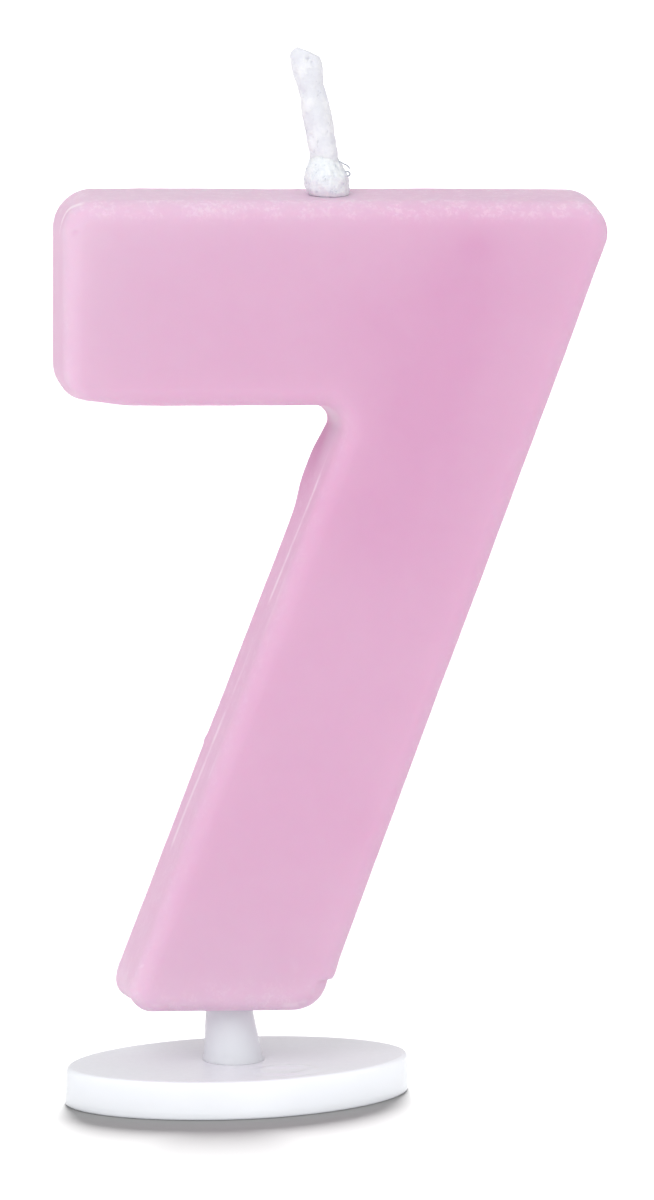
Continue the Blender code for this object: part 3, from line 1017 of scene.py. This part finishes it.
def collar_mesh():
    """A lumpy bulb of frosted wax that has crept up round the wick."""
    rings = []
    for row in range(COLLAR_ROWS + 1):
        share = row / COLLAR_ROWS
        height = COLLAR_HEIGHT * share
        centre = wick_point(height) + Vector((COLLAR_SHIFT * smooth_step(1.0, 0.2, share), 0.0, 0.0))
        full = smooth_step(-0.35, 0.22, share) * smooth_step(1.05, 0.42, share)
        radius = WICK_RADIUS + (COLLAR_RADIUS - WICK_RADIUS) * full
        radius -= 0.05 * MM * smooth_step(0.9, 1.0, share)
        ring = []
        for angle in ring_angles(COLLAR_SIDES):
            outward = Vector((math.cos(angle), math.sin(angle), 0.0))
            spot = centre + outward * radius
            bumpy = uneven_by(spot, COLLAR_LUMPS) * smooth_step(1.05, 0.75, share)
            tilt = DRAFT_SLOPE * spot.y * (1.0 - share)
            ring.append(spot + outward * bumpy + Vector((0.0, 0.0, WAX_BASE + tilt)))
        rings.append(ring)
    return ring_mesh("wick_collar", rings)


def fibre(name, points, radius, material):
    """A stray cotton fibre through the given points."""
    curve = bpy.data.curves.new(name, "CURVE")
    curve.dimensions = "3D"
    curve.bevel_depth = radius
    curve.bevel_resolution = 3
    curve.use_fill_caps = True
    spline = curve.splines.new("NURBS")
    spline.points.add(len(points) - 1)
    spline.order_u = 3
    spline.use_endpoint_u = True
    root = Vector((WICK_X, 0.0, WAX_BASE + BAR_TOP))
    for knot, (x, y, z) in zip(spline.points, points):
        knot.co = (*(root + Vector((x, y, z)) * MM), 1.0)
    return place(name, curve, material, "candle")


def make_collar():
    """The collar and, on its right, one hooked fibre and one small loop."""
    collar = place("wick_collar", collar_mesh(), frosted_wax(), "candle")
    cotton = stray_cotton()
    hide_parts("wick_seal")
    hook = fibre("wick_fibre", HOOK_POINTS, 0.07 * MM, cotton)
    loop = fibre("wick_loop", LOOP_POINTS, 0.08 * MM, cotton)
    return [collar, hook, loop]


# ---------------------------------------------------------------- holder

def turned(name, profile, sides, lean=None):
    """A turned body from (radius, height) pairs; lean(height) shifts each ring to the right."""
    rings = []
    for radius, height in profile:
        shift = lean(height) if lean else 0.0
        rings.append([Vector((radius * math.cos(angle) + shift, radius * math.sin(angle), height))
                      for angle in ring_angles(sides)])
    return ring_mesh(name, rings)


def stem_profile(root, shoulder):
    """(radius, height) from the spigot's end up to the peg's nose."""
    profile = [
        (SPIGOT_RADIUS - STEM_CHAMFER, STEM_LOW.z),
        (SPIGOT_RADIUS, STEM_LOW.z + STEM_CHAMFER),
        (SPIGOT_RADIUS, root - HAIR),
        (STEM_ROOT_RADIUS + STEM_FILLET, root),
    ]
    steps = 20
    for step in range(1, steps + 1):
        share = step / steps
        height = root + (shoulder - STEM_CHAMFER - root) * share
        fillet = STEM_FILLET * (1.0 - smooth_step(0.0, 0.12, share))
        profile.append((STEM_ROOT_RADIUS + (STEM_TOP_RADIUS - STEM_ROOT_RADIUS) * share + fillet, height))
    nose = STEM_HIGH.z
    return profile + [
        (STEM_TOP_RADIUS - 0.05 * MM, shoulder - 0.04 * MM),
        (STEM_TOP_RADIUS - STEM_CHAMFER, shoulder),
        (PEG_ROOT_RADIUS, shoulder + HAIR),
        (PEG_TIP_RADIUS, nose - 1.2 * MM),
        (PEG_TIP_RADIUS * 0.75, nose - 0.4 * MM),
        (PEG_TIP_RADIUS * 0.3, nose),
    ]


def make_stem():
    """Spigot, tapered stem and peg in one moulding. The stem in sight leans a little to the left, and
    its top is tilted to meet the numeral's sloping underside."""
    root = FOOT_TOP + SEAT_GAP
    shoulder = WAX_BASE - WAX_DRAFT / 2.0 - SEAT_GAP

    def lean(height):
        if height > shoulder:
            return 0.0
        return STEM_SHIFT + STEM_LEAN * max(0.0, height - root) / (shoulder - root)

    mesh = turned("stem_and_peg", stem_profile(root, shoulder), STEM_SIDES, lean)
    for vertex in mesh.vertices:
        share = smooth_step(root, shoulder, vertex.co.z)
        share *= smooth_step(STEM_HIGH.z, shoulder + 1.0 * MM, vertex.co.z)
        vertex.co.z -= DRAFT_SLOPE * vertex.co.y * share
    mesh.set_sharp_from_angle(angle=CREASE_ANGLE)
    # The stem is the same white plastic as the foot, made a little darker: painted shade from the numeral
    # above it
    plastic = white_plastic("stem_plastic", roughness=0.28, shade=0.79)
    stem = place("stem_and_peg", mesh, plastic, "holder_stem")
    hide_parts("stem_peg")
    return stem


def oval(angle, inset):
    """A point of the foot's outline, a slightly pointed oval, moved in by inset."""
    power = 2.0 / FOOT_FULLNESS
    x = math.copysign(abs(math.cos(angle)) ** power, math.cos(angle)) * (FOOT_HALF_LENGTH - inset)
    y = math.copysign(abs(math.sin(angle)) ** power, math.sin(angle)) * (FOOT_HALF_DEPTH - inset)
    return Vector((x + FOOT_OFFSET, y, 0.0))


def sink_mark(point):
    """Height of the sink mark beside the stem: a shallow oval dimple with a rim."""
    across = (point.x - SINK_MIDDLE.x) / SINK_HALF_WIDTHS[0]
    along = (point.y - SINK_MIDDLE.y) / SINK_HALF_WIDTHS[1]
    out = math.hypot(across, along)
    return sum(height * bell(out - where, width) for where, width, height in SINK_WAVES)


def foot_mesh():
    """The foot, hollow underneath round a boss: rings from the boss out, up the wall and into the bore."""
    angles = ring_angles(FOOT_SIDES)
    around = [Vector((math.cos(angle), math.sin(angle), 0.0)) for angle in angles]

    def circle(radius, height):
        return [spot * radius + Vector((0.0, 0.0, height)) for spot in around]

    def outline(inset, height):
        return [oval(angle, inset) + Vector((0.0, 0.0, height)) for angle in angles]

    rings = [
        circle(BOSS_RADIUS - 0.2 * MM, 0.0),
        circle(BOSS_RADIUS, 0.15 * MM),
        circle(BOSS_RADIUS, CORE_DEPTH),
        outline(FOOT_SHELL, CORE_DEPTH),
        outline(FOOT_SHELL, FOOT_EDGE_BREAK),
        outline(FOOT_SHELL - FOOT_EDGE_BREAK, 0.0),
    ]
    base_steps = 3
    for step in range(base_steps + 1):
        angle = math.pi / 2.0 * step / base_steps
        rings.append(outline(FOOT_BASE_RADIUS * (1.0 - math.sin(angle)),
                             FOOT_BASE_RADIUS * (1.0 - math.cos(angle))))
    wall_top = FOOT_TOP - FOOT_RIM_RADIUS
    wall_steps = 6
    for step in range(1, wall_steps):
        share = step / wall_steps
        height = FOOT_BASE_RADIUS + (wall_top - FOOT_BASE_RADIUS) * share
        rings.append(outline(FOOT_DRAFT * share, height))
    rim_steps = 8
    for step in range(rim_steps + 1):
        angle = math.pi / 2.0 * step / rim_steps
        rings.append(outline(FOOT_DRAFT + FOOT_RIM_RADIUS * (1.0 - math.cos(angle)),
                             wall_top + FOOT_RIM_RADIUS * math.sin(angle)))
    rings += top_rings(outline(FOOT_DRAFT + FOOT_RIM_RADIUS, FOOT_TOP), circle(BORE_RADIUS, FOOT_TOP))
    rings.append(circle(BORE_RADIUS, BORE_FLOOR))
    mesh = ring_mesh("oval_foot", rings)
    mesh.transform(Matrix.Rotation(FOOT_TURN, 4, "Z"))
    mesh.set_sharp_from_angle(angle=CREASE_ANGLE)
    return mesh


def top_rings(brim, bore):
    """The foot's top, from its brim in to the bore, with the sink mark."""
    rings = []
    steps = 40
    for step in range(1, steps + 1):
        share = step / steps
        ring = []
        for outer, inner in zip(brim, bore):
            spot = outer.lerp(inner, share)
            spot.z += sink_mark(spot) * smooth_step(0.0, 0.12, share)
            ring.append(spot)
        rings.append(ring)
    return rings


def make_foot():
    # The foot's copy of the white plastic is a little lighter than the stem's: painted light
    plastic = white_plastic("foot_plastic", roughness=0.16, shade=0.82)
    foot = place("oval_foot", foot_mesh(), plastic, "holder_foot")
    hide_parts("foot")
    return foot


# ---------------------------------------------------------------- stage

def make_stage():
    size = FLOOR_HALF_SIZE
    mesh = bpy.data.meshes.new("floor")
    corners = [(-size, -size, 0.0), (size, -size, 0.0), (size, size, 0.0), (-size, size, 0.0)]
    mesh.from_pydata(corners, [], [(0, 1, 2, 3)])
    floor = place("floor", mesh, matt_floor())
    return floor


def sun(name, look, lit, shading):
    """Soft parallel light, from an azimuth, an elevation, a spread and a strength.

    It falls on the lit pieces only, and only the shading pieces stand in its way.
    """
    azimuth, elevation, spread, strength = look
    lamp = bpy.data.lights.new(name, "SUN")
    lamp.angle = math.radians(spread)
    lamp.energy = strength
    light = bpy.data.objects.new(name, lamp)
    a, e = math.radians(azimuth), math.radians(elevation)
    out = Vector((math.sin(a) * math.cos(e), -math.cos(a) * math.cos(e), math.sin(e)))
    light.location = out
    light.rotation_mode = "QUATERNION"
    light.rotation_quaternion = out.to_track_quat("Z", "Y")
    bpy.context.scene.collection.objects.link(light)
    receivers = bpy.data.collections.new(name + "_lit")
    blockers = bpy.data.collections.new(name + "_shading")
    for pieces, collection in ((lit, receivers), (shading, blockers)):
        for piece in pieces:
            collection.objects.link(piece)
    light.light_linking.receiver_collection = receivers
    light.light_linking.blocker_collection = blockers


def make_world():
    """An even white world, brighter where the camera sees it as the backdrop than where it gives light."""
    world = bpy.data.worlds.new("studio")
    bpy.context.scene.world = world
    world.use_nodes = True
    tree = world.node_tree
    background = tree.nodes["Background"]
    background.inputs["Color"].default_value = (1.0, 1.0, 1.0, 1.0)
    rays = tree.nodes.new("ShaderNodeLightPath")
    strength = tree.nodes.new("ShaderNodeMapRange")
    strength.inputs["To Min"].default_value = WORLD_LIGHT
    strength.inputs["To Max"].default_value = BACKDROP_LIGHT
    tree.links.new(rays.outputs["Is Camera Ray"], strength.inputs["Value"])
    tree.links.new(strength.outputs["Result"], background.inputs["Strength"])


def make_lights(floor, candle, stem, foot):
    sun("key", KEY_LIGHT, candle, candle)
    sun("fill", FILL_LIGHT, candle, candle)
    sun("foot_fill", FOOT_FILL_LIGHT, [foot], candle)
    sun("wash", FLOOR_LIGHT, [floor], [stem, foot])


def make_camera():
    data = bpy.data.cameras.new("camera")
    data.lens = CAMERA_LENS
    data.sensor_width = CAMERA_SENSOR
    data.clip_start, data.clip_end = CAMERA_CLIP
    camera = bpy.data.objects.new("camera", data)
    camera.location = CAMERA_AT
    facing = (Matrix.Rotation(-CAMERA_TURN, 4, "Z")
              @ Matrix.Rotation(math.pi / 2.0 - CAMERA_PITCH, 4, "X")
              @ Matrix.Rotation(CAMERA_ROLL, 4, "Z"))
    camera.rotation_mode = "QUATERNION"
    camera.rotation_quaternion = facing.to_quaternion()
    bpy.context.scene.collection.objects.link(camera)
    bpy.context.scene.camera = camera


bpy.context.scene.view_settings.view_transform = "Standard"
make_camera()
floor = make_stage()
wax_and_wick = [make_numeral(), make_wick(), *make_collar()]
stem, foot = make_stem(), make_foot()
make_world()
make_lights(floor, [*wax_and_wick, stem, foot], stem, foot)
